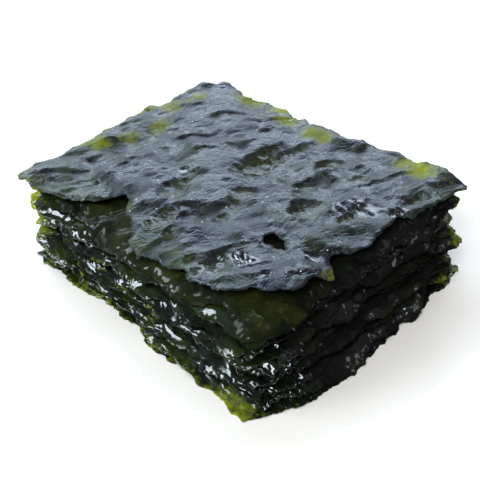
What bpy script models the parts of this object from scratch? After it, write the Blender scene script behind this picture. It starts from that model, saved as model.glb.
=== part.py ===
# A stack of roasted seaweed snack sheets: thin, crinkled, torn at the edges, lying loosely one on another.
# Metres, +Z up. The stack rests on z = 0 and its bounding box is centred on the Z axis.
# +X runs along the long side of the sheets and +Y along the short side.

import math
import random

import bmesh
import bpy
from mathutils import Matrix, Vector, noise
from mathutils.geometry import delaunay_2d_cdt

MM = 0.001

# Driving dimensions
SHEET_COUNT = 12
SHEET_LENGTH = 86.0 * MM
SHEET_WIDTH = 70.0 * MM
SHEET_THICKNESS = 0.4 * MM
SHEET_PITCH = 1.9 * MM  # mean rise from one sheet to the next
CLEARANCE = 0.62 * MM  # least free height between two sheets, measured upright
CORNER_RADIUS = 2.5 * MM
STACK_LEAN = Vector((-6.0 * MM, 2.0 * MM))  # how far the top sheet has slid from the bottom one
SLIDE = 1.0 * MM  # how far a sheet may slide to any side by itself
TWIST = math.radians(1.8)  # how far a sheet may turn by itself

# Torn edge: long lobes with short pointed teeth on them
LOBE_DEPTH, LOBE_LENGTH = 2.4 * MM, 14.0 * MM
TOOTH_DEPTH, TOOTH_LENGTH = 2.2 * MM, 8.0 * MM

# Crinkle: depth and length of the waves in the middle of a sheet and along its edge
SWELL_DEPTH, SWELL_LENGTH = 2.6 * MM, 34.0 * MM
CRINKLE_DEPTH, CRINKLE_LENGTH = 1.5 * MM, 15.0 * MM
FLUTTER_DEPTH, FLUTTER_LENGTH = 3.6 * MM, 12.0 * MM
RIDGE_DEPTH, RIDGE_LENGTH = 1.7 * MM, 13.0 * MM  # the sharp folds that show on the top sheet
FLUTTER_BAND = 0.30  # share of a half side over which the edge flutters
BOTTOM_LIFT = 0.25 * MM  # how far the bottom sheet's waves stand off the table on average
BLEND = 0.5 * MM  # rounds the line where one sheet comes to rest on the next

# How far the uppermost sheets hang along the front and right, how much further at the corner between those
# sides, and how far they lift along the left
EDGE_DROOP, CORNER_DROOP, LEFT_LIFT = 2.6 * MM, 2.2 * MM, 1.0 * MM
TOP_DROOP_SHARE = 0.35  # the top sheet is stiffer and stands proud of the rest

# Point spacing of the meshes: the edge that shows is fine, the hidden middle is coarse
EDGE_STEP, RIM_STEP, MIDDLE_STEP = 3.0 * MM, 3.5 * MM, 9.5 * MM
RIM_FROM, RIM_TO = 1.6 * MM, 5.2 * MM
TOP_EDGE_STEP, TOP_STEP = 2.0 * MM, 3.3 * MM

SEED = 11

HALF_LENGTH, HALF_WIDTH = SHEET_LENGTH / 2, SHEET_WIDTH / 2
FRONT, RIGHT, BACK, LEFT = Vector((0, -1)), Vector((1, 0)), Vector((0, 1)), Vector((-1, 0))


class Bite:
    """A piece missing from one side of a sheet, deepest at its middle. A low power makes it a sharp notch, and a
    negative depth a bulge."""

    def __init__(self, side, along, half_width, depth, power=2.0):
        reach = HALF_WIDTH if side.x == 0 else HALF_LENGTH
        across = Vector((1, 0)) if side.x == 0 else Vector((0, 1))
        self.middle = side * reach + across * along
        self.inward = -side
        self.half_width = half_width
        self.depth = depth
        self.power = power

    def pull(self, point):
        """Where a point of the outline lies once the bite is gone."""
        share = (point - self.middle).length / self.half_width
        if share >= 1:
            return point
        return point + self.inward * self.depth * (1 - share) ** self.power


TOP_BITES = (
    Bite(FRONT, -11.5 * MM, 15 * MM, 10.5 * MM, power=1.1),  # the deep notch in the front edge
    Bite(FRONT, 17.5 * MM, 7 * MM, 4.5 * MM),
    Bite(RIGHT, -6.5 * MM, 8 * MM, 5.5 * MM),
    Bite(RIGHT, 12.5 * MM, 9 * MM, 3.2 * MM),
    Bite(LEFT, -22.0 * MM, 8 * MM, 2.5 * MM),
    Bite(LEFT, 4.0 * MM, 28 * MM, -2.4 * MM, power=0.8),
    Bite(BACK, -5.0 * MM, 10 * MM, 3.0 * MM),
)
# The two lowest sheets spread towards the front right corner
SPREAD_SHEETS = 2
SPREAD = (
    Bite(FRONT, 24.0 * MM, 26 * MM, -3.6 * MM, power=0.8),
    Bite(RIGHT, -10.0 * MM, 26 * MM, -3.2 * MM, power=0.8),
)
# Length of each leg of the triangle missing at the front right corner, on the top and the lowest sheets
TOP_CORNER_LOSS, LOW_CORNER_LOSS = 15.5 * MM, 8.0 * MM
MOST_CORNER_LOSS = 5 * MM  # at any corner of the sheets between them
MOST_BITE = 4.5 * MM  # depth of the bites in the sheets below the top one
WHOLE_SHEETS, WHOLE_SHARE = 3, 0.3  # the lowest sheets are less bitten, by that share of the depth


def smoothstep(low, high, value):
    share = min(max((value - low) / (high - low), 0), 1)
    return share * share * (3 - 2 * share)


def smooth_max(a, b, width):
    share = min(max(0.5 + 0.5 * (a - b) / width, 0), 1)
    return b + (a - b) * share + width * share * (1 - share)


def wave(point, length, seed):
    """Smooth noise of about -1 to 1 with waves of that length."""
    return 1.5 * noise.noise(Vector((point.x / length, point.y / length, seed * 3.7)))


def crest(point, length, seed):
    """Sharp lines of 1 with hollows between them, down to about -1."""
    return 1 - min(2, 3 * abs(wave(point, length, seed)))


def fold(point, length, seed):
    """The crests of a sheet that was crumpled: their lines wander, and they run out to 0 between them."""
    drift = Vector((wave(point, length * 1.7, seed + 40), wave(point, length * 1.7, seed + 41)))
    return max(0, crest(point + drift * length * 0.3, length, seed + 42))


def is_top(index):
    return index == SHEET_COUNT - 1


def sheet_frames():
    """Where each sheet lies, bottom to top, as (middle, turn)."""
    draw = random.Random(SEED)
    frames = []
    for index in range(SHEET_COUNT):
        share = index / (SHEET_COUNT - 1)
        slide = Vector((draw.uniform(-SLIDE, SLIDE), draw.uniform(-SLIDE, SLIDE)))
        turn = draw.uniform(-TWIST, TWIST)
        if is_top(index):
            slide, turn = Vector((0, 0)), 0.0
        frames.append((STACK_LEAN * (share - 0.5) + slide, turn))
    return frames


def rounded_rectangle(step):
    """Evenly spaced (point, outward direction) round the sheet as it was cut, anticlockwise."""
    inner_x, inner_y = HALF_LENGTH - CORNER_RADIUS, HALF_WIDTH - CORNER_RADIUS
    corners = ((inner_x, -inner_y), (inner_x, inner_y), (-inner_x, inner_y), (-inner_x, -inner_y))
    found = []
    for number, corner in enumerate(corners):
        start = math.radians(90 * number - 90)
        arc_steps = max(2, round(CORNER_RADIUS * math.pi / 2 / step))
        for k in range(arc_steps):
            angle = start + math.pi / 2 * k / arc_steps
            outward = Vector((math.cos(angle), math.sin(angle)))
            found.append((Vector(corner) + outward * CORNER_RADIUS, outward))
        outward = Vector((math.cos(start + math.pi / 2), math.sin(start + math.pi / 2)))
        first = Vector(corner) + outward * CORNER_RADIUS
        last = Vector(corners[(number + 1) % 4]) + outward * CORNER_RADIUS
        side_steps = round((last - first).length / step)
        for k in range(side_steps):
            found.append((first.lerp(last, k / side_steps), outward))
    return found


def losses_of(index):
    """The bites and the four corner losses of a sheet."""
    if is_top(index):
        return TOP_BITES, (0.5 * MM, TOP_CORNER_LOSS, 0.5 * MM, 2.0 * MM)
    draw = random.Random(SEED + 100 + index)
    most = MOST_BITE * (WHOLE_SHARE if index < WHOLE_SHEETS else 1)
    bites = []
    for side in (FRONT, FRONT, RIGHT, RIGHT, BACK, LEFT):
        reach = HALF_LENGTH if side.x == 0 else HALF_WIDTH
        along = draw.uniform(-0.85, 0.85) * reach
        bites.append(Bite(side, along, draw.uniform(4, 9) * MM, draw.uniform(0.3, 1) * most, 1.5))
    corner_losses = [draw.uniform(0, MOST_CORNER_LOSS) for _ in range(4)]
    if index < SPREAD_SHEETS:
        bites.extend(SPREAD)
        corner_losses[1] = LOW_CORNER_LOSS
    return bites, corner_losses


def cut_corners(point, losses):
    """Draws a point that lies in a missing corner back to the line it broke along."""
    quarter = {(1, 1): 0, (1, -1): 1, (-1, 1): 2, (-1, -1): 3}
    side = (1 if point.x > 0 else -1, 1 if point.y > 0 else -1)
    loss = losses[quarter[side]]
    beyond = abs(point.x) + abs(point.y) - (HALF_LENGTH + HALF_WIDTH - loss)
    if beyond > 0:
        point = point - Vector(side) * beyond / 2
    return point


def sheet_outline(index, frame):
    """The torn edge of a sheet, as points where it lies."""
    middle, turn = frame
    bites, corner_losses = losses_of(index)
    points = []
    for point, outward in rounded_rectangle(TOP_EDGE_STEP if is_top(index) else EDGE_STEP):
        torn = cut_corners(point, corner_losses)
        for bite in bites:
            torn = bite.pull(torn)
        lobe = wave(point, LOBE_LENGTH, index + 0.3) - 0.4
        tooth = crest(point, TOOTH_LENGTH, index + 0.6) - 0.4
        torn = torn + outward * (LOBE_DEPTH * 0.5 * lobe + TOOTH_DEPTH * 0.5 * tooth)
        points.append(middle + Matrix.Rotation(turn, 2) @ torn)
    return points


def distance_inside(point, outline):
    """How far inside the outline a point lies. Points outside give a negative distance."""
    nearest = min(
        (point - a.lerp(b, min(max((point - a).dot(b - a) / (b - a).length_squared, 0), 1))).length
        for a, b in zip(outline, outline[1:] + outline[:1])
    )
    inside = False
    for a, b in zip(outline, outline[1:] + outline[:1]):
        if (a.y > point.y) != (b.y > point.y):
            crossing = a.x + (point.y - a.y) * (b.x - a.x) / (b.y - a.y)
            inside ^= point.x < crossing
    return nearest if inside else -nearest


def hexagon_grid(step):
    """A triangular grid of points over the whole stack, the same for each sheet, so that they nest."""
    reach_x, reach_y = SHEET_LENGTH * 0.65, SHEET_WIDTH * 0.65
    row_step = step * math.sqrt(3) / 2
    rows, columns = int(reach_y / row_step), int(reach_x / step) + 1
    return [
        Vector(((column + 0.5 * (row % 2)) * step, row * row_step))
        for row in range(-rows, rows + 1)
        for column in range(-columns, columns + 1)
    ]


def inner_points(index, outline):
    """Points inside the outline: close together along the edge, and all over the top sheet."""
    found = []
    for point in hexagon_grid(TOP_STEP if is_top(index) else RIM_STEP):
        depth = distance_inside(point, outline)
        if depth > RIM_FROM and (is_top(index) or depth < RIM_TO):
            found.append(point)
    if not is_top(index):
        for point in hexagon_grid(MIDDLE_STEP):
            if distance_inside(point, outline) > RIM_TO + MIDDLE_STEP * 0.4:
                found.append(point)
    return found


def edge_share(*outs):
    """0 in the middle of the stack, 1 at the edge of the sheets, for how far out a point lies to each side."""
    return smoothstep(1 - FLUTTER_BAND, 1.0, max(outs))


def droop(point):
    """How far the uppermost sheets hang at a point."""
    to_right, to_front = point.x / HALF_LENGTH, -point.y / HALF_WIDTH
    corner = smoothstep(0.55, 1.0, (to_right + to_front) / 2)
    hang = EDGE_DROOP * edge_share(to_right, to_front) ** 2 + CORNER_DROOP * corner
    return hang - LEFT_LIFT * edge_share(-to_right) ** 2


def underside(index, point):
    """Height of a sheet's lower face. Each sheet has its own waves and comes to rest on the one below."""
    edge = edge_share(abs(point.x) / HALF_LENGTH, abs(point.y) / HALF_WIDTH)
    own = CRINKLE_DEPTH * 0.5 * wave(point, CRINKLE_LENGTH, index + 0.1)
    flutter = FLUTTER_DEPTH * 0.5 * wave(point, FLUTTER_LENGTH, index + 20.1) * edge
    if index == 0:
        return smooth_max(0.0, BOTTOM_LIFT + own + flutter * 0.7, BLEND) - BLEND / 4
    share = index / (SHEET_COUNT - 1)
    swell = SWELL_DEPTH * 0.5 * wave(point, SWELL_LENGTH, 7.3) * share
    wanted = index * SHEET_PITCH + swell + own + flutter
    if is_top(index):
        wanted += RIDGE_DEPTH * fold(point, RIDGE_LENGTH, index) * (1 - 0.4 * edge)
        wanted -= droop(point) * TOP_DROOP_SHARE
    else:
        wanted -= droop(point) * share
    resting = underside(index - 1, point) + SHEET_THICKNESS + CLEARANCE
    return smooth_max(wanted, resting, BLEND)


def seaweed_material(name, colour):
    material = bpy.data.materials.new(name)
    material.use_nodes = True
    shader = material.node_tree.nodes["Principled BSDF"]
    shader.inputs["Base Color"].default_value = (*colour, 1.0)
    shader.inputs["Roughness"].default_value = 0.38
    shader.inputs["Metallic"].default_value = 0.0
    return material


def make_sheet(index, frame, material, collection):
    """One sheet: its torn outline filled with triangles, waved, and given its thickness."""
    outline = sheet_outline(index, frame)
    points = outline + inner_points(index, outline)
    loop = [list(range(len(outline)))]
    flat, _, faces, *_ = delaunay_2d_cdt(points, [], loop, 1, 1e-6)

    mesh = bpy.data.meshes.new(f"sheet_{index + 1:02d}")
    vertices = [(p.x, p.y, max(0.0, underside(index, p))) for p in flat]
    mesh.from_pydata(vertices, [], [tuple(face) for face in faces])
    skin = bmesh.new()
    skin.from_mesh(mesh)
    bmesh.ops.triangulate(skin, faces=skin.faces[:])
    bmesh.ops.recalc_face_normals(skin, faces=skin.faces[:])
    if sum(face.normal.z for face in skin.faces) < 0:
        bmesh.ops.reverse_faces(skin, faces=skin.faces[:])
    skin.to_mesh(mesh)
    skin.free()
    mesh.shade_smooth()
    mesh.materials.append(material)

    sheet = bpy.data.objects.new(mesh.name, mesh)
    collection.objects.link(sheet)
    thickness = sheet.modifiers.new("Thickness", "SOLIDIFY")
    thickness.thickness = SHEET_THICKNESS
    thickness.offset = 1.0
    return sheet


def centre_on_axis(sheets):
    """Slides all the sheets so that their common bounding box is centred on the Z axis."""
    corners = [vertex.co for sheet in sheets for vertex in sheet.data.vertices]
    middle_x = (min(c.x for c in corners) + max(c.x for c in corners)) / 2
    middle_y = (min(c.y for c in corners) + max(c.y for c in corners)) / 2
    for sheet in sheets:
        sheet.data.transform(Matrix.Translation((-middle_x, -middle_y, 0)))


def main():
    for old in list(bpy.data.objects):
        bpy.data.objects.remove(old)
    collection = bpy.data.collections.new("Seaweed snack")
    bpy.context.scene.collection.children.link(collection)
    inner = seaweed_material("Roasted seaweed", (0.012, 0.022, 0.008))
    top = seaweed_material("Roasted seaweed top", (0.028, 0.036, 0.030))
    sheets = [
        make_sheet(index, frame, top if is_top(index) else inner, collection)
        for index, frame in enumerate(sheet_frames())
    ]
    centre_on_axis(sheets)


main()
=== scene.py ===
# Roasted seaweed snack: a leaning stack of thin, crinkled, torn sheets, dressed over its solid model.
# Lengths are in metres. mm turns a number of millimetres into metres.

import math

import bmesh
import bpy
from mathutils import Matrix, Vector


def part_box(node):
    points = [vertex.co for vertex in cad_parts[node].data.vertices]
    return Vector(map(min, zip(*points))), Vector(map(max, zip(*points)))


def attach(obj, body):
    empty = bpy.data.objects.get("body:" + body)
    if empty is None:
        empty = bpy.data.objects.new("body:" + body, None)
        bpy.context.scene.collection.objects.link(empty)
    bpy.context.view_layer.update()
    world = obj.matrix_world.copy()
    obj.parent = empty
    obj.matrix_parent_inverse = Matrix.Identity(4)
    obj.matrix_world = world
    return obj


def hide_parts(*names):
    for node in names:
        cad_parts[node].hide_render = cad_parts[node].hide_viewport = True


mm = 0.001
fibreTurn = 76  # degrees from the sheets' long side

print("solid model")
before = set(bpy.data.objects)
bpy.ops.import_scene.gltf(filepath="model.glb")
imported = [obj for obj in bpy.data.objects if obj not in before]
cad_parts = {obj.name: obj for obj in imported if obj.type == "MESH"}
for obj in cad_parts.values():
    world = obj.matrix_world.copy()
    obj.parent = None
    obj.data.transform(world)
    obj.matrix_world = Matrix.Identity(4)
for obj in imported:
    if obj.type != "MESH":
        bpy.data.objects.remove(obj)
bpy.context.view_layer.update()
sheetNames = sorted(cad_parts)
topName = sheetNames[-1]
topNumber = len(sheetNames)


# Node trees: a Wire is one output of a node, and a sum written with wires adds the Math nodes for it
class Wire:
    def __init__(self, net, node, output):
        self.net = net
        self.node = node
        self.socket = node.outputs[output]

    def other(self, output):
        return Wire(self.net, self.node, output)

    def math(self, operation, *values):
        return self.net.add("ShaderNodeMath", {"operation": operation}, dict(enumerate(values)))

    def __add__(self, value):
        return self.math("ADD", self, value)

    def __radd__(self, value):
        return self.math("ADD", value, self)

    def __sub__(self, value):
        return self.math("SUBTRACT", self, value)

    def __rsub__(self, value):
        return self.math("SUBTRACT", value, self)

    def __mul__(self, value):
        return self.math("MULTIPLY", self, value)

    def __rmul__(self, value):
        return self.math("MULTIPLY", value, self)

    def __truediv__(self, value):
        return self.math("DIVIDE", self, value)

    def __rtruediv__(self, value):
        return self.math("DIVIDE", value, self)

    def __pow__(self, value):
        return self.math("POWER", self, value)

    def __abs__(self):
        return self.math("ABSOLUTE", self)

    def __gt__(self, value):
        return self.math("GREATER_THAN", self, value)

    def __lt__(self, value):
        return self.math("LESS_THAN", self, value)

    def fraction(self):
        return self.math("FRACT", self)

    def sine(self):
        return self.math("SINE", self)

    def zigzag(self, turns):  # straight up and down between 0 and 1, that many times for each 1 of the value
        return self.net.add("ShaderNodeMath", {"operation": "PINGPONG"}, {0: self * turns, 1: 1.0})

    def atLeast(self, value):
        return self.math("MAXIMUM", self, value)

    def atMost(self, value):
        return self.math("MINIMUM", self, value)

    def between(self, low, high):  # 0 at low, 1 at high, smooth between them
        sockets = {"Value": self, "From Min": low, "From Max": high}
        return self.net.add("ShaderNodeMapRange", {"interpolation_type": "SMOOTHSTEP"}, sockets)


class Net:
    def __init__(self, tree):
        self.tree = tree

    def add(self, kind, settings=None, sockets=None, output=0):
        node = self.tree.nodes.new(kind)
        for name, value in (settings or {}).items():
            setattr(node, name, value)
        for key, value in (sockets or {}).items():
            if isinstance(value, Wire):
                self.tree.links.new(value.socket, node.inputs[key])
            else:
                node.inputs[key].default_value = value
        return Wire(self, node, output)

    def vector(self, operation, *values, output=0):
        return self.add("ShaderNodeVectorMath", {"operation": operation}, dict(enumerate(values)), output)

    def scaled(self, vector, factor):
        return self.add("ShaderNodeVectorMath", {"operation": "SCALE"}, {0: vector, "Scale": factor})

    def dot(self, vector, direction):
        return self.vector("DOT_PRODUCT", vector, direction, output=1)

    def split(self, vector, output=0):
        return self.add("ShaderNodeSeparateXYZ", None, {0: vector}, output)

    def noise(self, vector, length, detail=2.0, w=0.0, output="Fac", **more):
        settings = {"noise_dimensions": "4D"}
        sockets = {"Vector": vector, "W": w, "Scale": 1 / length, "Detail": detail, **more}
        return self.add("ShaderNodeTexNoise", settings, sockets, output)

    def drift(self, vector, length, detail, w, reach, **more):
        # A shift by a noise, up to half the reach each way
        colour = self.noise(vector, length, detail, w, "Color", **more)
        return self.scaled(self.vector("SUBTRACT", colour, (0.5, 0.5, 0.5)), reach)

    def cells(self, vector, length):
        # One random number for each cell of a mosaic
        sockets = {"Vector": vector, "Scale": 1 / length}
        mosaic = self.add("ShaderNodeTexVoronoi", {"feature": "F1"}, sockets, "Color")
        return self.add("ShaderNodeSeparateColor", None, {"Color": mosaic}, 0)

    # A Mix node's sockets go by number, because their names repeat
    def mixColour(self, factor, low, high):
        return self.add("ShaderNodeMix", {"data_type": "RGBA"}, {0: factor, 6: low, 7: high}, 2)

    def mixVector(self, factor, low, high):
        return self.add("ShaderNodeMix", {"data_type": "VECTOR"}, {0: factor, 4: low, 5: high}, 1)

    def flow(self, vector, along, across):
        # A place on a level plane, turned to the direction that the fibres run in and stretched along them
        turn = math.radians(fibreTurn)
        u = self.dot(vector, (math.cos(turn), math.sin(turn), 0))
        v = self.dot(vector, (-math.sin(turn), math.cos(turn), 0))
        height = self.split(vector, 2)
        return self.add("ShaderNodeCombineXYZ", None, {0: u * along, 1: v * across, 2: height})

    def upwards(self, height):
        return self.add("ShaderNodeCombineXYZ", None, {2: height})

    def attribute(self, name):
        return self.add("ShaderNodeAttribute", {"attribute_name": name}, None, "Fac")

    def kept(self, name):
        return self.add("GeometryNodeInputNamedAttribute", {"data_type": "FLOAT"}, {"Name": name})

    def store(self, geometry, name, value):
        sockets = {"Geometry": geometry, "Name": name, "Value": value}
        return self.add("GeometryNodeStoreNamedAttribute", {"data_type": "FLOAT"}, sockets)

    def moved(self, geometry, **sockets):
        return self.add("GeometryNodeSetPosition", None, {"Geometry": geometry, **sockets})

    def without(self, geometry, selection, **settings):
        sockets = {"Geometry": geometry, "Selection": selection}
        return self.add("GeometryNodeDeleteGeometry", settings, sockets)

    def toEdges(self, target, output):
        return self.add("GeometryNodeProximity", {"target_element": "EDGES"}, {"Geometry": target}, output)

    def join(self, *parts):
        node = self.tree.nodes.new("GeometryNodeJoinGeometry")
        for part in reversed(parts):
            self.tree.links.new(part.socket, node.inputs[0])
        return Wire(self, node, 0)


def geometryTree(name, inputs):
    # A Geometry Nodes tree with one mesh in and one out, and a named input for each entry of inputs
    tree = bpy.data.node_groups.new(name, "GeometryNodeTree")
    tree.interface.new_socket("Geometry", in_out="INPUT", socket_type="NodeSocketGeometry")
    for label, kind in inputs.items():
        tree.interface.new_socket(label, in_out="INPUT", socket_type="NodeSocket" + kind)
    tree.interface.new_socket("Geometry", in_out="OUTPUT", socket_type="NodeSocketGeometry")
    net = Net(tree)
    return net, net.add("NodeGroupInput")


def finishTree(net, geometry, material):
    # What every tree ends in
    real = net.add("GeometryNodeRealizeInstances", None, {"Geometry": geometry})
    dressed = net.add("GeometryNodeSetMaterial", None, {"Geometry": real, "Material": material})
    end = net.tree.nodes.new("NodeGroupOutput")
    net.tree.links.new(dressed.socket, end.inputs["Geometry"])


def runTree(name, mesh, net, values):
    # Runs the tree on a mesh and returns the result as a plain mesh
    tree = net.tree
    carrier = bpy.data.objects.new(name, mesh)
    bpy.context.scene.collection.objects.link(carrier)
    modifier = carrier.modifiers.new("Nodes", "NODES")
    modifier.node_group = tree
    for item in tree.interface.items_tree:
        if item.in_out == "INPUT" and item.name in values:
            modifier[item.identifier] = values[item.name]
    bpy.context.view_layer.update()
    evaluated = carrier.evaluated_get(bpy.context.evaluated_depsgraph_get())
    made = bpy.data.meshes.new_from_object(evaluated)
    carrier.modifiers.remove(modifier)
    bpy.data.objects.remove(carrier)
    made.name = name
    return made


# Camera at the photograph's viewing angle
cameraSetup = {
    "azimuth": math.radians(49.2),
    "elevation": math.radians(34.2),
    "roll": math.radians(-3.52),
    "distance": 218.4 * mm,
    "slideRight": -0.8 * mm,
    "slideUp": 4.8 * mm,
    "aim": Vector((1.2 * mm, -0.3 * mm, 0)),
    "lens": 65.5,
    "clipStart": 5 * mm,
}


def makeCamera(setup):
    turn, rise = setup["azimuth"], setup["elevation"]
    back = Vector((math.sin(turn) * math.cos(rise), -math.cos(turn) * math.cos(rise), math.sin(rise)))
    level = Vector((0, 0, 1)).cross(back).normalized()
    upright = back.cross(level)
    right = level * math.cos(setup["roll"]) + upright * math.sin(setup["roll"])
    up = back.cross(right)
    place = setup["aim"] + back * setup["distance"] + right * setup["slideRight"] + up * setup["slideUp"]
    camera = bpy.data.objects.new("camera", bpy.data.cameras.new("camera"))
    camera.data.lens = setup["lens"]
    camera.data.clip_start = setup["clipStart"]
    axes = Matrix((right, up, back)).transposed().to_4x4()
    camera.matrix_world = Matrix.Translation(place) @ axes
    bpy.context.scene.collection.objects.link(camera)
    bpy.context.scene.camera = camera


print("camera, floor and light")
makeCamera(cameraSetup)
bpy.context.scene.view_settings.view_transform = "Standard"

floorSetup = {"side": 4.0, "colour": (0.58, 0.562, 0.53, 1), "roughness": 0.6}


def makeFloor(setup):
    shape = bmesh.new()
    bmesh.ops.create_grid(shape, x_segments=1, y_segments=1, size=setup["side"] / 2)
    mesh = bpy.data.meshes.new("floor")
    shape.to_mesh(mesh)
    shape.free()
    material = bpy.data.materials.new("floorMatte")
    material.use_nodes = True
    paint = material.node_tree.nodes["Principled BSDF"]
    paint.inputs["Base Color"].default_value = setup["colour"]
    paint.inputs["Roughness"].default_value = setup["roughness"]
    mesh.materials.append(material)
    floor = bpy.data.objects.new("floor", mesh)
    bpy.context.scene.collection.objects.link(floor)


makeFloor(floorSetup)

# Soft daylight: a wide window behind and to the left, smaller ones at the left, the right and the front, and
# a dim room all round. The lamp above fills the shadows on the floor and gives no highlights.
lightSetup = {
    "room": (0.80, 0.87, 1.0),
    "roomStrength": 0.16,
    "lamps": {
        "backWindow": {"at": (-0.86, 0.7, 0.7), "size": (1.7, 0.86), "watts": 26, "tint": (0.76, 0.88, 1)},
        "leftWindow": {"at": (-0.6, -0.56, 0.58), "size": (0.56, 0.34), "watts": 10, "tint": (0.82, 0.92, 1)},
        "rightWindow": {"at": (0.55, 0.62, 0.52), "size": (0.34, 0.26), "watts": 0.6, "tint": (0.93, 0.9, 1)},
        "frontWindow": {"at": (0.36, -0.68, 0.78), "size": (0.36, 0.3), "watts": 6, "tint": (0.88, 0.94, 1)},
        "above": {"at": (0.35, -0.3, 1.2), "size": (1.4, 1.4), "watts": 16, "tint": (1, 0.97, 0.92)},
    },
    "unreflected": "above",
}


def makeLights(setup):
    world = bpy.data.worlds.new("room")
    world.use_nodes = True
    sky = world.node_tree.nodes["Background"]
    sky.inputs["Color"].default_value = (*setup["room"], 1)
    sky.inputs["Strength"].default_value = setup["roomStrength"]
    bpy.context.scene.world = world
    for name, lamp in setup["lamps"].items():
        light = bpy.data.lights.new(name, "AREA")
        light.shape = "RECTANGLE"
        light.size, light.size_y = lamp["size"]
        light.energy = lamp["watts"]
        light.color = lamp["tint"]
        holder = bpy.data.objects.new(name, light)
        holder.visible_glossy = name != setup["unreflected"]
        place = Vector(lamp["at"])
        holder.matrix_world = Matrix.Translation(place) @ place.to_track_quat("Z", "Y").to_matrix().to_4x4()
        bpy.context.scene.collection.objects.link(holder)


makeLights(lightSetup)


def ridges(value, sharpness):
    # Turns a noise into rounded ridges between 0 and 1
    return (1 - abs(value * 2 - 1) * sharpness).atLeast(0)


# Materials
seaweedFinish = {
    "dark": (0.0034, 0.0044, 0.0026, 1),
    "green": (0.0095, 0.0170, 0.0026, 1),
    "olive": (0.0290, 0.0380, 0.0050, 1),
    # painted glow: the yellow-green of light coming through a single layer, painted into its colour
    "paintedGlowLeaf": (0.1900, 0.2250, 0.0260, 1),
    "glow": (0.84, 0.88, 0.20, 1),  # light that comes through a single layer
    "oliveShare": 0.6,
    "oil": 1.0,
    "cloud": 9 * mm,
    "patch": 4.5 * mm,
    "oilSpot": 2.8 * mm,
    "tatter": 1.7 * mm,  # the ragged outlines of the thin places
    "fibre": 0.45 * mm,
    "grain": 0.25 * mm,
    "roughLow": 0.25,
    "roughHigh": 0.58,
    "bump": 0.20 * mm,
    "specular": 0.045,
    # painted reflection: the leaf's reflections are tinted blue like the window light
    "paintedSheenTint": (0.63, 0.77, 1.0, 1),
    "rightShadeDark": (0.0042, 0.0037, 0.0042, 1),  # painted shade: the right side, away from the light, is darker and less green
    "rightShadeGreenShare": 0.2,
    "litGreenUntil": (-27 * mm, -18 * mm),
}
seedStep = 31.7  # keeps the patterns of two sheets apart
# What differs on single sheets
finishChanges = {
    "sheet_12": {
        "dark": (0.0052, 0.0050, 0.0052, 1),
        # painted shade on the right side is weaker on the top sheet
        "rightShadeDark": (0.0052, 0.0050, 0.0052, 1),
        "oliveShare": 1.0,
        "rightShadeGreenShare": 0.45,
        "oil": 0.0,
        "roughLow": 0.18,
        "roughHigh": 0.52,
        "bump": 0.30 * mm,
        "specular": 0.44,
    },
    "sheet_11": {
        "green": (0.0125, 0.0155, 0.0030, 1),
        "olive": (0.0300, 0.0330, 0.0050, 1),
        "oliveShare": 0.7,
        # painted shade: the green lit side reaches further back on this sheet, and its shaded right side is
        # darker
        "rightShadeGreenShare": 0.1,
        "litGreenUntil": (-16 * mm, -6 * mm),
        "oil": 0.25,
        "roughLow": 0.50,
        "roughHigh": 0.75,
        "specular": 0.055,
        # painted reflection: this sheet's reflections are tinted yellow-green instead of blue
        "paintedSheenTint": (0.75, 0.88, 0.60, 1),
    },
}


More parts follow.
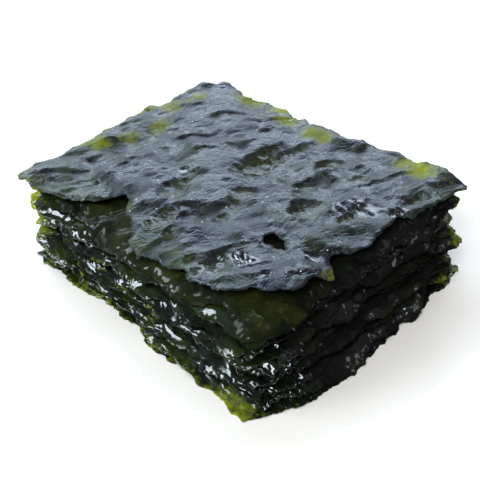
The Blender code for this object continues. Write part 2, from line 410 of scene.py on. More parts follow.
def seaweedMaterial(name, finish, seed):
    material = bpy.data.materials.new(name)
    material.use_nodes = True
    tree = material.node_tree
    tree.nodes.clear()
    net = Net(tree)
    place = net.add("ShaderNodeTexCoord", None, None, "Object")
    inside = net.attribute("inside")  # metres from the torn edge
    gloss = net.attribute("gloss")  # 1 in the oily crumpled spots
    dull = net.attribute("dull").atMost(1)  # 1 in the dry hollows
    bent = net.vector("ADD", place, net.drift(place, 6 * mm, 2.0, seed, 5 * mm))

    patchShade = net.cells(bent, finish["patch"])
    clouds = net.noise(place, finish["cloud"], 3.0, seed + 5)
    streaks = net.noise(net.flow(bent, 0.32, 1.0), finish["fibre"], 4.0, seed + 9)
    threads = ridges(net.noise(net.flow(bent, 0.5, 1.0), finish["fibre"] * 4, 3.0, seed + 13), 3.0)
    grain = net.noise(place, finish["grain"], 2.0, seed + 17)

    # Painted shade: the left side, where the light falls, keeps its green. The shaded right side and the oily
    # crumpled spots are painted darker and less green.
    left = 1 - net.split(place, "Y").between(*finish["litGreenUntil"])
    litGreenShare = (left * (1 - finish["rightShadeGreenShare"]) + finish["rightShadeGreenShare"]) * (1 - gloss.atMost(1) * 0.8)
    green = (clouds * 0.7 + patchShade * 0.2 + streaks * 0.3).between(0.45, 0.80) * litGreenShare
    colour = net.mixColour(green, net.mixColour(left, finish["rightShadeDark"], finish["dark"]), finish["green"])
    thread = (clouds * 0.6 + streaks * 0.4).between(0.52, 0.66) * litGreenShare
    thread = thread.atLeast(dull * streaks.between(0.35, 0.65))
    colour = net.mixColour(thread * finish["oliveShare"], colour, finish["olive"])
    ragged = net.noise(place, finish["tatter"], 5.0, seed + 25) * 0.7 + streaks * 0.3
    thin = (net.attribute("thin") + (ragged - 0.5) * 2.1).between(0.28, 1.12)
    # Painted glow: the single-layer places are painted the yellow-green of light coming through them
    colour = net.mixColour(thin, colour, finish["paintedGlowLeaf"])

    onLeft = net.vector("MULTIPLY", bent, (0.35, 1, 1))
    onRight = net.vector("MULTIPLY", bent, (1, 0.5, 1))
    drawn = net.mixVector(left, onRight, onLeft)
    oil = net.noise(drawn, finish["oilSpot"], 2.0, seed + 21).between(0.49, 0.58)
    oil = oil * inside.between(0.1 * mm, 0.5 * mm).atLeast(left)
    rimShine = (1 - inside.between(0.2 * mm, 0.6 * mm)) * clouds.between(0.45, 0.60) * left
    oil = (oil.atLeast(rimShine) * finish["oil"]).atLeast(gloss)
    film = (patchShade * 0.35 + streaks * 0.65).between(0.25, 0.75)
    rough = finish["roughLow"] + film * (finish["roughHigh"] - finish["roughLow"])
    rough = rough + (0.14 - rough) * gloss.atMost(1)
    rough = rough + (1 - inside.between(0.1 * mm, 0.4 * mm)) * (0.35 - 0.3 * left)
    height = streaks * 0.55 + threads * 0.30 + grain * 0.15
    bump = net.add("ShaderNodeBump", None, {"Strength": 1.0, "Distance": finish["bump"], "Height": height})
    leaf = net.add(
        "ShaderNodeBsdfPrincipled",
        None,
        {
            "Base Color": colour,
            "Roughness": rough,
            "Coat Weight": oil,
            "Coat Roughness": 0.07,
            "Specular IOR Level": finish["specular"],
            # Painted reflection: the tint colours the leaf's reflections
            "Specular Tint": finish["paintedSheenTint"],
            "Normal": bump,
        },
    )
    glow = net.add("ShaderNodeBsdfTranslucent", None, {"Color": finish["glow"]})
    both = net.add("ShaderNodeMixShader", None, {0: 0.02 + thin * 0.78, 1: leaf, 2: glow})
    end = tree.nodes.new("ShaderNodeOutputMaterial")
    tree.links.new(both.socket, end.inputs["Surface"])
    return material


print("materials")
sheetMaterials = {}
for number, name in enumerate(sheetNames):
    finish = {**seaweedFinish, **finishChanges.get(name, {})}
    sheetMaterials[name] = seaweedMaterial("seaweed" + name[-2:], finish, seedStep * number)


# Sheets. Each keeps the outline and the waves of its solid, and gains finer crumpling, nicks and thinness.
# They are laid from the bottom up: a sheet hangs down at its margin until it meets what lies below.
sheetLook = {
    "Thickness": 0.22 * mm,
    "Gap": 0.08 * mm,
    "Fold Depth": 0.70 * mm,
    "Fold Length": 9.0 * mm,
    "Crease Depth": 0.60 * mm,
    "Crease Length": 7.0 * mm,
    "Lump Depth": 0.35 * mm,
    "Lump Length": 3.2 * mm,
    "Wrinkle Depth": 0.26 * mm,
    "Wrinkle Length": 1.2 * mm,
    "Relief Reach": 16.0 * mm,  # the crumpling fades out further in, where nothing shows
    "Flutter": 1.0 * mm,
    "Flutter Length": 4.6 * mm,
    "Flutter Reach": 5.0 * mm,
    "Crush": 0.50 * mm,  # fine crumpling of the margin
    "Crush Length": 1.5 * mm,
    "Step Depth": 0.0 * mm,  # of a film that lies in steps
    "Step Length": 8.0 * mm,
    "Droop": 1.5 * mm,
    "Droop Reach": 4.0 * mm,
    "Droop Length": 12.0 * mm,
    "Calm": 0.0,  # how much of its crumpling a calm patch loses
    "Nick Depth": 0.70 * mm,
    "Nick Length": 2.0 * mm,
    "Nick Reach": 2.4 * mm,
}
firstWide = 10  # the sheets from this number up show far in from their edges
ringLook = {"Points Around": 900, "Rings": 32}
rimWidth = 10.0 * mm  # how far in the rings keep to the outline
gridLook = {
    "Point Spacing": 0.45 * mm,
    "Hole Centre": Vector((1, 1, 0)),  # far away, so that only the top sheet has the hole
    "Hole Half Length": 4.0 * mm,
}
holeShape = {"slim": 0.45, "taper": 0.6, "turn": math.radians(-9)}
wideLook = {"Flutter": 0.7 * mm, "Crush": 0.35 * mm, "Crease Depth": 0.45 * mm}
topLook = {
    "Fold Depth": 1.05 * mm,
    "Fold Length": 10.0 * mm,
    "Crease Depth": 0.50 * mm,
    "Lump Depth": 0.30 * mm,
    "Lump Length": 5.0 * mm,
    "Wrinkle Depth": 0.18 * mm,
    "Wrinkle Length": 0.9 * mm,
    "Relief Reach": 200.0 * mm,
    "Flutter": 0.35 * mm,
    "Crush": 0.2 * mm,
    "Step Depth": 0.85 * mm,
    "Droop": 0.5 * mm,
    "Calm": 0.6,
    "Point Spacing": 0.37 * mm,
    "Hole Centre": Vector((24.3 * mm, -10.8 * mm, 0)),
}
# Hollows, and rises with a negative depth, in millimetres: the two ends, half width, depth, how crinkled and
# how oily they are, and the share that each numbered sheet takes
pleatedFrom = 0.7  # a spot more oily than this has pleats instead of crinkles
coveredSheets = dict.fromkeys(range(1, firstWide), 1)
oilyCorner = {**dict.fromkeys(range(1, 7), 1), 7: 0.8, 8: 0.5}
hollows = [
    ((-3.1, 2.1), (-4.5, 19.1), 4.1, 1.5, 1.1, 0.1, {12: 1, 11: 0.6}),
    ((1.8, -4.0), (6.2, 2.4), 2.2, 1.0, 0.6, 0.0, {12: 1}),
    ((-8.5, -17.7), (-8.9, -6.3), 3.7, 1.3, 0.9, 0.0, {12: 1, 11: 0.6}),
    ((-1.2, 17.2), (0.6, 23.6), 1.8, 0.8, 0.6, 0.0, {12: 1}),
    ((9.5, 16.8), (9.8, 25.0), 2.5, 1.0, 0.8, 0.1, {12: 1}),
    ((11.2, 5.1), (14.4, 13.6), 1.7, 0.8, 0.5, 0.0, {12: 1}),
    ((20.6, -1.9), (19.9, 7.7), 3.4, 1.3, 0.6, 0.1, {12: 1, 11: 0.6}),
    ((7.1, -9.8), (5.4, -3.8), 2.0, 0.8, 0.5, 0.0, {12: 1}),
    ((7.8, -14.3), (7.5, -9.5), 1.5, 0.7, 0.5, 0.0, {12: 1}),
    ((-0.1, -26.5), (-2.5, -18.0), 2.8, 1.0, 0.8, 0.1, {12: 1}),
    ((-30.0, -24.9), (-30.0, -19.0), 1.7, 0.35, 0.3, 0.0, {12: 1}),
    ((-22.3, -27.3), (-22.2, -20.4), 1.7, 0.35, 0.3, 0.0, {12: 1}),
    ((19.6, 16.5), (20.5, 22.9), 2.1, 0.8, 0.8, 0.2, {12: 1}),
    ((35.1, 18.8), (36.1, 25.5), 2.1, 0.8, 0.5, 0.0, {12: 1}),
    ((30.1, 2.1), (29.8, 8.3), 1.8, 0.8, 0.5, 0.0, {12: 1}),
    ((5.7, -27.5), (5.2, -21.1), 1.8, 0.8, 0.5, 0.0, {12: 1}),
    ((13.5, -31.3), (14.3, -25.6), 1.6, 0.7, 0.5, 0.0, {12: 1}),
    ((19.8, -30.5), (18.2, -20.1), 2.8, 1.3, 1.2, 0.4, {12: 1, 11: 0.6}),
    ((19.5, -20.0), (26.5, -17.6), 2.2, 0.6, 1.0, 1.1, {12: 1, 11: 0.6}),
    ((19.0, -8.4), (23.6, -8.4), 1.6, -0.6, 0.0, 0.0, {12: 1}),
    ((24.5, 6.5), (34.0, 15.5), 2.6, 0.3, 0.8, 0.85, {12: 1}),
    ((36.0, 12.5), (36.0, 18.5), 1.6, 0.4, 0.7, 1.0, {12: 1}),
    ((29.4, -20.6), (32.6, -19.6), 1.1, 0.6, 0.2, 1.0, {12: 1}),
    ((31.6, -9.9), (34.6, -8.1), 1.1, 0.3, 0.2, 0.8, {12: 1}),
    ((-15.7, -5.3), (-13.1, -3.1), 1.2, 0.3, 0.2, 1.0, {12: 1}),
    ((-12.0, -29.0), (-34.0, -29.0), 6.0, 2.2, 0.0, 0.0, {12: 1}),
    ((-30.0, -32.0), (-6.0, -28.0), 5.0, 0.3, 1.0, 0.1, {11: 1, 10: 1}),
    ((-42.0, -31.5), (-20.0, -30.0), 2.6, 0.0, 0.5, 0.0, {12: 1}),
    ((22.0, -34.0), (41.0, -26.0), 6.0, 0.0, 0.6, 0.15, {11: 1}),
    ((-4.0, -33.0), (21.0, -35.0), 4.5, 0.2, 0.9, 0.6, {11: 1, 10: 1}),
    ((39.0, -6.0), (41.0, 26.0), 6.0, 0.3, 1.0, 0.2, {11: 1, 10: 1}),
    ((46.0, -14.0), (46.0, 30.0), 5.0, 0.0, 0.8, 0.0, coveredSheets),
    ((-42.0, -29.5), (-10.0, -28.5), 6.0, -0.4, 0.5, 0.0, {11: 1, 10: 1}),
    ((40.5, -11.0), (40.5, -24.0), 2.4, -1.5, 0.0, 0.0, {12: 1}),
    ((36.0, -33.0), (46.0, -22.0), 7.0, 0.0, 1.2, 1.3, oilyCorner),
]
# Where the sheets are one layer thin and let light through, and where the glow of that light is painted
# into their colour, in millimetres: the middle and half sizes of a place, and how far in from the edge it
# reaches
thinGlowPlaces = [
    {"centre": (-46.2, -13.6, 21.5), "half": (4.5, 4.5, 3.0), "depth": 20.0, "share": 1.0},
    {"centre": (-41.0, -10.5, 21.5), "half": (4.0, 4.0, 3.0), "depth": 20.0, "share": 0.8},
    {"centre": (-37.4, -3.5, 21.5), "half": (4.0, 4.0, 3.0), "depth": 20.0, "share": 0.7},
    {"centre": (-35.8, 6.3, 21.5), "half": (4.5, 4.5, 3.0), "depth": 20.0, "share": 0.9},
    {"centre": (-41.3, 14.2, 21.5), "half": (5.0, 5.0, 3.0), "depth": 20.0, "share": 0.9},
    {"centre": (-40.4, 22.5, 21.5), "half": (4.0, 5.0, 3.0), "depth": 20.0, "share": 0.9},
    {"centre": (-30.0, 32.6, 22.0), "half": (6.0, 4.4, 3.0), "depth": 20.0, "share": 0.95},
    {"centre": (-20.2, 35.2, 22.0), "half": (4.0, 4.0, 3.0), "depth": 20.0, "share": 0.95},
    {"centre": (-13.2, 31.0, 22.0), "half": (5.0, 4.0, 3.0), "depth": 20.0, "share": 0.9},
    {"centre": (-2.2, 30.2, 22.0), "half": (5.6, 4.4, 3.0), "depth": 20.0, "share": 1.0},
    {"centre": (27.8, 34.0, 21.0), "half": (9.0, 4.8, 3.0), "depth": 20.0, "share": 0.9},
    {"centre": (39.4, -10.3, 20.0), "half": (3.0, 3.0, 3.0), "depth": 20.0, "share": 0.62},
    {"centre": (-42.0, -33.0, 12.0), "half": (8.0, 8.0, 11.0), "depth": 4.0, "share": 0.9},
    {"centre": (46.0, 34.0, 10.0), "half": (9.0, 7.0, 16.0), "depth": 3.5, "share": 0.9},
    {"centre": (46.0, 25.0, 2.0), "half": (6.0, 6.0, 3.0), "depth": 5.0, "share": 0.6},
    {"centre": (36.0, -38.0, 0.5), "half": (9.0, 7.0, 2.0), "depth": 5.0, "share": 0.75},
    {"centre": (0.0, -40.0, 0.5), "half": (60.0, 12.0, 2.0), "depth": 2.0, "share": 0.5},
    {"centre": (-20.0, 40.0, 12.0), "half": (50.0, 10.0, 18.0), "depth": 3.0, "share": 0.8},
    {"centre": (-50.0, 5.0, 12.0), "half": (10.0, 50.0, 18.0), "depth": 3.0, "share": 0.8},
]
# Torn corners and tongues drawn out of, or into, the outline of a sheet, in millimetres
tornCorners = [
    {"sheet": 12, "at": (-43.3, -31.8), "around": 7.0, "pull": (1.8, -3.4)},
    {"sheet": 12, "at": (-22.0, -28.0), "around": 9.0, "pull": (0.5, -2.6)},
    {"sheet": 12, "at": (21.8, -34.3), "around": 9.0, "pull": (4.4, 2.4)},
    {"sheet": 12, "at": (37.0, -21.0), "around": 6.0, "pull": (2.8, -2.4)},
    {"sheet": 12, "at": (40.5, 9.5), "around": 8.0, "pull": (2.6, -0.6)},
    {"sheet": 12, "at": (39.2, -10.4), "around": 6.0, "pull": (1.3, 0.2)},
    {"sheet": 12, "at": (39.3, 35.3), "around": 7.0, "pull": (1.8, 0.4)},
    {"sheet": 10, "at": (-43.9, -34.8), "around": 12.0, "pull": (7.0, 2.5)},
    {"sheet": 1, "at": (40.0, -33.5), "around": 10.0, "pull": (1.6, -4.2)},
    {"sheet": 2, "at": (40.8, -33.8), "around": 8.0, "pull": (0.8, -1.8)},
    {"sheet": 2, "at": (43.9, 33.5), "around": 12.0, "pull": (-2.8, -3.2)},
    {"sheet": 3, "at": (43.5, 32.6), "around": 12.0, "pull": (-2.2, -2.6)},
    {"sheet": 4, "at": (44.4, 30.4), "around": 10.0, "pull": (-2.4, -2.8)},
    {"sheet": 6, "at": (40.5, 36.3), "around": 9.0, "pull": (-1.6, -1.9)},
    {"sheet": 1, "at": (47.0, 20.0), "around": 7.5, "pull": (-2.8, 0.4)},
    {"sheet": 2, "at": (47.5, 19.5), "around": 7.5, "pull": (-2.8, 0.4)},
    {"sheet": 3, "at": (45.0, 19.0), "around": 7.0, "pull": (-1.4, 0.2)},
    {"sheet": 1, "at": (46.8, 6.5), "around": 5.0, "pull": (-2.0, 0.0)},
    {"sheet": 2, "at": (47.6, 6.0), "around": 5.0, "pull": (-2.2, 0.0)},
    {"sheet": 1, "at": (44.8, 32.0), "around": 9.0, "pull": (-1.6, -0.6)},
]
stepWay = (-0.940, 0.342, 0)  # along this, each step of the film rises steeply and then falls gently
mergeDistance = 0.002 * mm
lookSockets = {
    "Points Around": "Int",
    "Rings": "Int",
    "Material": "Material",
    "Below": "Collection",
    "Core Low": "Vector",
    "Core High": "Vector",
    "Middle": "Vector",
    "Hole Centre": "Vector",
}


def upperSkin(solid):
    # The upper face of a sheet's solid as an open mesh: what can be reached from its largest level face
    # without crossing the sharp edge of the rim
    rimAngle = math.radians(50)
    skin = bmesh.new()
    skin.from_mesh(solid.data)
    bmesh.ops.remove_doubles(skin, verts=skin.verts[:], dist=0.001 * mm)
    start = max(skin.faces, key=lambda face: face.normal.z * face.calc_area())
    reached, waiting = {start}, [start]
    while waiting:
        face = waiting.pop()
        for edge in face.edges:
            if len(edge.link_faces) != 2 or edge.calc_face_angle() > rimAngle:
                continue
            for neighbour in edge.link_faces:
                if neighbour not in reached:
                    reached.add(neighbour)
                    waiting.append(neighbour)
    bmesh.ops.delete(skin, geom=[face for face in skin.faces if face not in reached], context="FACES")
    mesh = bpy.data.meshes.new(solid.name + "_skin")
    skin.to_mesh(mesh)
    skin.free()
    return mesh


def onBoundary(net):
    faces = net.add("GeometryNodeInputMeshEdgeNeighbors")
    return net.add("FunctionNodeCompare", {"data_type": "INT", "operation": "EQUAL"}, {2: faces, 3: 1})


def flatSkin(net, given):
    # The skin smoothed and pressed flat, with its height kept as an attribute, and its outline
    smooth = net.add(
        "GeometryNodeSubdivisionSurface",
        {"boundary_smooth": "PRESERVE_CORNERS"},
        {"Mesh": given.other("Geometry"), "Level": 2},
    )
    spot = net.add("GeometryNodeInputPosition")
    height = net.split(spot, "Z")
    kept = net.store(smooth, "height", height)
    flat = net.moved(kept, Position=net.vector("MULTIPLY", spot, (1, 1, 0)))
    outline = net.add("GeometryNodeMeshToCurve", None, {"Mesh": flat, "Selection": onBoundary(net)})
    return flat, outline


def ringedPoints(net, given, outline):
    # Rings of points that follow the outline, close together along the edge that shows
    around, rings = given.other("Points Around"), given.other("Rings")
    sockets = {"Size X": 1.0, "Size Y": 1.0, "Vertices X": around + 1, "Vertices Y": rings + 1}
    grid = net.add("GeometryNodeMeshGrid", None, sockets)
    spot = net.add("GeometryNodeInputPosition")
    share = net.split(spot)
    sockets = {"Curves": outline, "Factor": share + 0.5}
    sampled = net.add("GeometryNodeSampleCurve", {"mode": "FACTOR"}, sockets, "Position")
    core = net.vector("MAXIMUM", sampled, given.other("Core Low"))
    core = net.vector("MINIMUM", core, given.other("Core High"))
    inward = share.other("Y") + 0.5
    toCore = net.mixVector((inward / 0.8).atMost(1) ** 1.3, sampled, core)
    toMiddle = net.mixVector((inward * 5 - 4).atLeast(0), toCore, given.other("Middle"))
    placed = net.moved(grid, Position=toMiddle)
    return net.add("GeometryNodeMergeByDistance", None, {"Geometry": placed, "Distance": mergeDistance})


def lensHole(net, given):
    # The outline of the hole, wide at one end and pointed at the other, and whether a point is inside it
    length, turn = given.other("Hole Half Length"), holeShape["turn"]
    slim, taper = holeShape["slim"], holeShape["taper"]
    spot = net.add("GeometryNodeInputPosition")
    apart = net.split(spot)
    side = apart.other("Y") * abs(apart.other("Y")) * (1 - apart * taper) * slim
    drawn = net.add("ShaderNodeCombineXYZ", None, {0: apart * length, 1: side * length})
    circle = net.add("GeometryNodeCurvePrimitiveCircle", None, {"Resolution": 96, "Radius": 1.0})
    ring = net.moved(circle, Position=drawn)
    sockets = {"Geometry": ring, "Translation": given.other("Hole Centre"), "Rotation": (0, 0, turn)}
    outline = net.add("GeometryNodeTransform", None, sockets)
    away = net.vector("SUBTRACT", spot, given.other("Hole Centre"))
    along = net.dot(away, (math.cos(turn), math.sin(turn), 0)) / length
    across = net.dot(away, (-math.sin(turn), math.cos(turn), 0)) / length
    return outline, abs(across) < (1 - along**2).atLeast(0) * (1 - along * taper) * slim


def evenPoints(net, given, flat, outline):
    # A fine even grid, cut to the outline and the hole, for a sheet that shows far in from its edge
    spacing = given.other("Point Spacing")
    sockets = {
        "Size X": given.other("Size X"),
        "Size Y": given.other("Size Y"),
        "Vertices X": given.other("Size X") / spacing,
        "Vertices Y": given.other("Size Y") / spacing,
    }
    grid = net.add("GeometryNodeMeshGrid", None, sockets)
    spot = net.add("GeometryNodeInputPosition")
    placed = net.moved(grid, Position=net.vector("ADD", spot, given.other("Middle")))
    above = net.vector("ADD", spot, (0, 0, 0.1))
    sockets = {"Target Geometry": flat, "Source Position": above, "Ray Length": 1.0}
    hit = net.add("GeometryNodeRaycast", None, sockets)
    holeOutline, inHole = lensHole(net, given)
    rope = net.add("GeometryNodeCurveToMesh", None, {"Curve": net.join(outline, holeOutline)})
    toRope = net.toEdges(rope, "Distance")
    unwanted = (1 - hit).atLeast(inHole).atLeast(toRope < spacing * 0.4)
    cut = net.without(placed, unwanted, domain="POINT")
    for _ in range(3):  # drops the stray corners that hang by one point, and points where only corners meet
        faces = net.add("GeometryNodeInputMeshVertexNeighbors", None, None, "Face Count")
        stray = (faces < 1.5).atLeast(faces.other("Vertex Count") - faces > 1.5)
        cut = net.without(cut, stray, domain="POINT")
    lone = net.add("GeometryNodeInputMeshEdgeNeighbors") < 0.5
    cut = net.without(cut, lone, domain="EDGE", mode="EDGE_FACE")
    settings = {"domain": "EDGE", "data_type": "FLOAT"}
    onRim = net.add("GeometryNodeFieldOnDomain", settings, {0: onBoundary(net)}) > 0.01
    nearest = net.toEdges(rope, "Position")
    sockets = {0: spot, "Iterations": 4, "Weight": 1 - (toRope / (spacing * 4)).atMost(1)}
    evened = net.add("GeometryNodeBlurAttribute", {"data_type": "FLOAT_VECTOR"}, sockets)
    for _ in range(3):  # draws the rim onto the outline and spaces its points evenly
        cut = net.moved(cut, Selection=onRim, Position=nearest)
        cut = net.moved(cut, Position=evened)
    return net.moved(cut, Selection=onRim, Position=nearest), rope


def sheetShare(given, shares):
    # How much this sheet takes of something that is given for a few numbered sheets
    whole = 0.0
    for number, share in shares.items():
        whole = (abs(given.other("Number") + 1 - number) < 0.5) * share + whole
    return whole


def hollowShare(net, spot, bent, start, end, half, wild):
    # 1 at the middle of a hollow and 0 outside its ragged outline. Its left side is the steeper one.
    middle = [(a + b) / 2 * mm for a, b in zip(start, end)]
    run = math.dist(start, end)
    forward = ((end[0] - start[0]) / run, (end[1] - start[1]) / run)
    away = net.vector("SUBTRACT", net.mixVector(0.45, spot, bent), (*middle, 0))
    along = net.dot(away, (*forward, 0))
    across = net.dot(away, (-forward[1], forward[0], 0))
    across = across.atLeast(0) / (0.8 * half * mm) - across.atMost(0) / (1.5 * half * mm)
    reach = (along / (run / 2 * mm)) ** 2 + across**2
    ragged = net.noise(spot, 4.2 * mm, 2.5, start[0] + end[1]) - 0.5
    return 1 - (reach + ragged * wild).between(0.0, 1.3)


def thinGlowShare(net, place, inside):
    # 0 where the sheet has several layers, 1 where it has one, lets light through and has the glow of that
    # light painted on it
    thin = 0.0
    for patch in thinGlowPlaces:
        away = net.vector("SUBTRACT", place, [value * mm for value in patch["centre"]])
        share = net.vector("DIVIDE", away, [value * mm for value in patch["half"]])
        near = 1 - net.vector("LENGTH", share, output=1).between(0.3, 1.5)
        edge = 1 - (inside / (patch["depth"] * mm)).between(0.4, 1.0)
        thin = (near * edge * patch["share"]).atLeast(thin)
    # The narrow rims get the painted glow and let light through only away from the shaded right side
    onRight = net.split(place, "X").between(10 * mm, 24 * mm)
    narrow = 1 - inside.between(0.2 * mm, 0.9 * mm).atLeast(onRight)
    return (narrow * net.noise(place, 7 * mm, 1.0, 3.0).between(0.50, 0.66) * 0.6).atLeast(thin)


def tornPull(net, given, spot):
    # How far the torn corners move a point of this sheet
    pull = (0, 0, 0)
    for corner in tornCorners:
        away = net.vector("DISTANCE", spot, (corner["at"][0] * mm, corner["at"][1] * mm, 0), output=1)
        share = (1 - away / (corner["around"] * mm)).atLeast(0) ** 1.5
        share = share * sheetShare(given, {corner["sheet"]: 1})
        towards = (corner["pull"][0] * mm, corner["pull"][1] * mm, 0)
        pull = net.vector("ADD", net.scaled(towards, share), pull)
    return pull


def nickedEdge(net, given, points, rope):
    # Keeps how far each point is from the edge, then tears nicks into the edge and pulls its torn corners
    marked = net.store(points, "inside", net.toEdges(rope, "Distance"))
    spot = net.add("GeometryNodeInputPosition")
    nearRim = 1 - (net.kept("inside") / given.other("Nick Reach")).atMost(1)
    reach = given.other("Nick Depth") * 4 * nearRim
    w = given.other("Number") * 3.1
    tear = net.drift(spot, given.other("Nick Length"), 3.0, w, reach, Roughness=0.65)
    push = net.vector("ADD", net.vector("MULTIPLY", tear, (1, 1, 0)), tornPull(net, given, spot))
    return net.moved(marked, Offset=push)


def rimNoise(net, spot, length, detail, w):
    # Noise stretched along the nearest straight part of the outline
    apart = net.split(spot)
    sideways = (abs(apart.other("Y")) / 33 - abs(apart) / 43).between(-0.1 * mm, 0.1 * mm)
    alongY = net.noise(net.vector("MULTIPLY", spot, (1, 0.6, 1)), length, detail, w)
    alongX = net.noise(net.vector("MULTIPLY", spot, (0.28, 1, 1)), length, detail, w)
    return alongY + (alongX - alongY) * sideways


def relief(net, given, spot, bent, byRim):
    # The crumpling: folds, creases, lumps and wrinkles along the edge or fibres, a loose margin, and steps
    number, inside = given.other("Number"), net.kept("inside")
    if byRim:
        fold = rimNoise(net, bent, given.other("Fold Length"), 1.0, number * 2.3)
        crease = rimNoise(net, bent, given.other("Crease Length"), 0.5, number * 9.1)
        lump = rimNoise(net, bent, given.other("Lump Length"), 1.0, number * 5.7)
        wrinkle = rimNoise(net, bent, given.other("Wrinkle Length") * 2, 3.0, number * 7.7)
    else:
        fold = net.noise(net.flow(bent, 0.45, 1.0), given.other("Fold Length"), 1.0, number * 2.3)
        crease = net.noise(net.flow(bent, 0.5, 1.0), given.other("Crease Length"), 0.5, number * 9.1)
        lump = net.noise(bent, given.other("Lump Length"), 1.0, number * 5.7)
        wrinkle = net.noise(net.flow(bent, 0.45, 1.0), given.other("Wrinkle Length") * 3, 1.0, number * 7.7)
    lift = (
        (ridges(fold, 2.2) - 0.4) * given.other("Fold Depth")
        + (crease.zigzag(4) - 0.5) * given.other("Crease Depth")
        + (lump.between(0.3, 0.7) - 0.5) * given.other("Lump Depth")
        + (wrinkle.zigzag(4) - 0.5) * given.other("Wrinkle Depth")
    )
    loose = (1 - inside / given.other("Flutter Reach")).atLeast(0) ** 1.5
    flutter = abs(rimNoise(net, spot, given.other("Flutter Length"), 2.0, number * 3.9) - 0.5) * 4 - 0.5
    crushed = abs(rimNoise(net, spot, given.other("Crush Length"), 1.2, number * 6.1) - 0.5) * 4 - 0.5
    lift = lift + flutter * loose * given.other("Flutter") + crushed * loose * given.other("Crush")
    climb = (net.dot(bent, stepWay) / given.other("Step Length") + 9).fraction()
    broken = net.noise(spot, 9 * mm, 2.0, number * 8.3).between(0.42, 0.60)
    lift = lift + (climb.between(0.0, 0.2) - climb) * broken * given.other("Step Depth")
    lift = lift * (1 - inside.between(given.other("Relief Reach") * 0.6, given.other("Relief Reach")))
    calm = net.noise(spot, 20 * mm, 1.0, number * 1.7).between(0.35, 0.65) * 0.65 + 0.35
    return lift * (1 - (1 - calm) * given.other("Calm"))


def spotRelief(net, given, spot, bent, spots, lift):
    # Adds the hollows, rises and oily crumpled spots to the lift, and gives how oily and how dry they are
    crinkle = net.noise(net.vector("MULTIPLY", spot, (0.6, 1, 1)), 3.6 * mm, 1.0, 90).zigzag(5) - 0.3
    sway = net.noise(net.vector("MULTIPLY", spot, (0.5, 1, 1)), 5 * mm, 1.0, 95) * 3
    pleats = ((net.split(bent, "Y") / (2.6 * mm) + sway) * (2 * math.pi)).sine() * 0.5
    gloss = dull = 0.0
    for start, end, half, depth, crinkled, oily, shares in spots:
        wild = 2.4 if crinkled else 0  # how ragged its outline is
        dry = max(1 - oily, 0) if crinkled and topNumber in shares else 0
        share = hollowShare(net, spot, bent, start, end, half, wild) * sheetShare(given, shares)
        fine = pleats if oily > pleatedFrom else crinkle
        lift = lift + (fine * (crinkled * mm) - depth * mm) * share
        gloss = gloss + share * oily
        dull = dull + share * dry
    return lift, gloss, dull


def heightBelow(net, spot, below, shift):
    # The top of what is already laid under a point, or the ground
    source = net.vector("ADD", net.vector("MULTIPLY", spot, (1, 1, 0)), (*shift, 0.1))
    sockets = {
        "Target Geometry": below,
        "Source Position": source,
        "Ray Direction": (0, 0, -1),
        "Ray Length": 1.0,
    }
    hit = net.add("GeometryNodeRaycast", None, sockets)
    return hit * net.split(hit.other("Hit Position"), 2)


def layDown(net, given, spot, sheet):
    # Lifts the sheet clear of what is already laid, from the height that is wanted at each point
    laid = net.add("GeometryNodeCollectionInfo", None, {"Collection": given.other("Below")})
    below = net.add("GeometryNodeRealizeInstances", None, {"Geometry": laid})
    clear = given.other("Thickness") + given.other("Gap")
    here = heightBelow(net, spot, below, (0, 0)) + clear
    reach = 0.7 * mm
    around = here
    for shift in ((reach, 0), (-reach, 0), (0, reach), (0, -reach)):
        around = around.atLeast(heightBelow(net, spot, below, shift) + clear)
    pushed = net.store(sheet, "pushed", (around - net.kept("wanted")).atLeast(0))
    sockets = {0: net.kept("pushed"), "Iterations": 4}
    borne = net.add("GeometryNodeBlurAttribute", {"data_type": "FLOAT"}, sockets)
    return net.moved(pushed, Offset=net.upwards((net.kept("wanted") + borne).atLeast(here)))


def crumple(net, given, flat, rope, points, spots, byRim):
    # Nicks the edge, lifts the points onto the sheet's waves, crumples it and lays it on what is below
    nicked = nickedEdge(net, given, points, rope)
    number, inside = given.other("Number"), net.kept("inside")
    spot = net.add("GeometryNodeInputPosition")
    bent = net.vector("ADD", spot, net.drift(spot, 9 * mm, 2.0, number * 0.05, 7 * mm))
    lift = relief(net, given, spot, bent, byRim)
    if not byRim:  # a sheet with a hole lies flatter round it
        fromHole = net.vector("DISTANCE", spot, given.other("Hole Centre"), output=1)
        lift = lift * (0.2 + 0.8 * fromHole.between(3 * mm, 7 * mm))
    lift, gloss, dull = spotRelief(net, given, spot, bent, spots, lift)
    finished = net.store(net.store(nicked, "gloss", gloss), "dull", dull)
    hang = (1 - inside / given.other("Droop Reach")).atLeast(0) ** 2
    uneven = net.noise(spot, given.other("Droop Length"), 1.0, number * 4.3).between(0.3, 0.7) * 1.1 + 0.1
    sockets = {"Mesh": flat, "Value": net.kept("height")}
    waves = net.add("GeometryNodeSampleNearestSurface", {"data_type": "FLOAT"}, sockets)
    wanted = net.store(finished, "wanted", waves + lift - hang * uneven * given.other("Droop"))
    return net.store(layDown(net, given, spot, wanted), "thin", thinGlowShare(net, spot, inside))


def thicken(net, given, upper):
    # Closes the sheet with a lower face and an edge
    thickness = given.other("Thickness")
    down = net.add("ShaderNodeCombineXYZ", None, {"Z": -1.0})
    sockets = {"Mesh": upper, "Selection": onBoundary(net), "Offset": down, "Offset Scale": thickness}
    rimmed = net.add("GeometryNodeExtrudeMesh", {"mode": "EDGES"}, sockets)
    lowered = net.moved(upper, Offset=net.upwards(0 - thickness))
    lower = net.add("GeometryNodeFlipFaces", None, {"Mesh": lowered})
    sockets = {"Geometry": net.join(rimmed, lower), "Distance": mergeDistance}
    return net.add("GeometryNodeMergeByDistance", None, sockets)


def sheetInputs(look, *names):
    names = [*sheetLook, *look, "Number", "Material", "Below", "Middle", *names]
    return {name: lookSockets.get(name, "Float") for name in names}


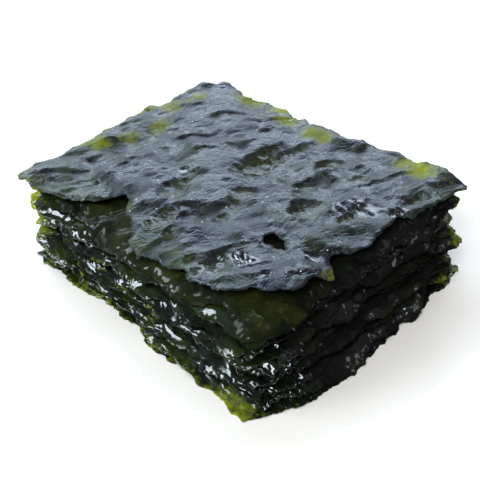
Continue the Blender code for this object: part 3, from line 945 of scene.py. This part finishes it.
def ringedSheetTree():
    net, given = geometryTree("ringed sheet", sheetInputs(ringLook, "Core Low", "Core High"))
    flat, outline = flatSkin(net, given)
    points = ringedPoints(net, given, outline)
    rope = net.add("GeometryNodeCurveToMesh", None, {"Curve": outline})
    spots = [hollow for hollow in hollows if min(hollow[-1]) < firstWide]
    upper = crumple(net, given, flat, rope, points, spots, byRim=True)
    finishTree(net, thicken(net, given, upper), given.other("Material"))
    return net


def evenSheetTree():
    net, given = geometryTree("even sheet", sheetInputs(gridLook, "Size X", "Size Y"))
    flat, outline = flatSkin(net, given)
    points, rope = evenPoints(net, given, flat, outline)
    spots = [hollow for hollow in hollows if max(hollow[-1]) >= firstWide]
    upper = crumple(net, given, flat, rope, points, spots, byRim=False)
    finishTree(net, thicken(net, given, upper), given.other("Material"))
    return net


def faceOutwards(mesh):
    shape = bmesh.new()
    shape.from_mesh(mesh)
    if shape.calc_volume(signed=True) < 0:
        bmesh.ops.reverse_faces(shape, faces=shape.faces[:])
    loose = sum(1 for edge in shape.edges if len(edge.link_faces) != 2)
    print("  ", mesh.name, len(shape.faces), "faces,", loose, "open or shared edges")
    shape.to_mesh(mesh)
    shape.free()
    mesh.shade_smooth()


def dressSheet(number, name, net, look):
    low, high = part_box(name)
    middle = (low + high) / 2
    rim = Vector((rimWidth, rimWidth, 0))
    coreLow, coreHigh = low + rim, high - rim
    coreLow.z = coreHigh.z = middle.z = 0
    values = {
        **look,
        "Number": float(number),
        "Material": sheetMaterials[name],
        "Below": laidSheets,
        "Core Low": coreLow,
        "Core High": coreHigh,
        "Middle": middle,
        "Size X": high.x - low.x + 2 * mm,
        "Size Y": high.y - low.y + 2 * mm,
    }
    mesh = runTree("seaweed_" + name[-2:], upperSkin(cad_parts[name]), net, values)
    faceOutwards(mesh)
    sheet = bpy.data.objects.new(mesh.name, mesh)
    laidSheets.objects.link(sheet)
    return sheet


print("sheets")
ringedTree = ringedSheetTree()
evenTree = evenSheetTree()
reachable = 3  # how many of the last laid sheets the next one can touch
laidSheets = bpy.data.collections.new("laid sheets")
bpy.context.scene.collection.children.link(laidSheets)
sheets = {}
for number, name in enumerate(sheetNames):
    if name == topName:
        sheets[name] = dressSheet(number, name, evenTree, {**sheetLook, **gridLook, **topLook})
    elif number + 1 >= firstWide:
        sheets[name] = dressSheet(number, name, evenTree, {**sheetLook, **gridLook, **wideLook})
    else:
        sheets[name] = dressSheet(number, name, ringedTree, {**sheetLook, **ringLook})
    if number >= reachable:
        deeper = sheets[sheetNames[number - reachable]]
        laidSheets.objects.unlink(deeper)
        bpy.context.scene.collection.objects.link(deeper)
for name, sheet in sheets.items():
    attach(sheet, "root")
    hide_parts(name)

# Salt on the top sheet
saltLook = {"Count": 50, "Least Size": 0.08 * mm, "Most Size": 0.18 * mm, "Seed": 5}


def saltMaterial():
    material = bpy.data.materials.new("salt")
    material.use_nodes = True
    tree = material.node_tree
    net = Net(tree)
    place = net.add("ShaderNodeTexCoord", None, None, "Object")
    cloud = net.noise(place, 0.2 * mm, 2.0)
    colour = net.mixColour(cloud, (0.62, 0.66, 0.70, 1), (0.90, 0.92, 0.94, 1))
    crystal = tree.nodes["Principled BSDF"]
    crystal.inputs["Roughness"].default_value = 0.18
    tree.links.new(colour.socket, crystal.inputs["Base Color"])
    return material


def saltTree():
    kinds = {"Seed": "Int", "Material": "Material"}
    inputs = {name: kinds.get(name, "Float") for name in (*saltLook, "Material")}
    net, given = geometryTree("salt grains", inputs)
    sheet = given.other("Geometry")
    facing = net.split(net.add("GeometryNodeInputNormal"), "Z")
    area = net.add("GeometryNodeInputMeshFaceArea")
    whole = net.add("GeometryNodeAttributeStatistic", {"domain": "FACE"}, {"Geometry": sheet, 2: area}, "Sum")
    sockets = {
        "Mesh": sheet,
        "Selection": facing > 0.3,
        "Density": given.other("Count") * 2 / whole,  # half of the whole area faces up
        "Seed": given.other("Seed"),
    }
    points = net.add("GeometryNodeDistributePointsOnFaces", None, sockets)
    grain = net.add("GeometryNodeMeshIcoSphere", None, {"Radius": 1.0, "Subdivisions": 1})
    sockets = {0: (0, 0, 0), 1: (math.pi, math.pi, math.pi), "Seed": 1}
    turn = net.add("FunctionNodeRandomValue", {"data_type": "FLOAT_VECTOR"}, sockets)
    sockets = {2: given.other("Least Size"), 3: given.other("Most Size"), "Seed": 2}
    size = net.add("FunctionNodeRandomValue", {"data_type": "FLOAT"}, sockets, 1)
    sockets = {"Points": points, "Instance": grain, "Rotation": turn, "Scale": size}
    placed = net.add("GeometryNodeInstanceOnPoints", None, sockets)
    finishTree(net, placed, given.other("Material"))
    return net


print("salt")
saltMesh = runTree("salt_grains", sheets[topName].data, saltTree(), {**saltLook, "Material": saltMaterial()})
salt = bpy.data.objects.new("salt_grains", saltMesh)
bpy.context.scene.collection.objects.link(salt)
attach(salt, "root")
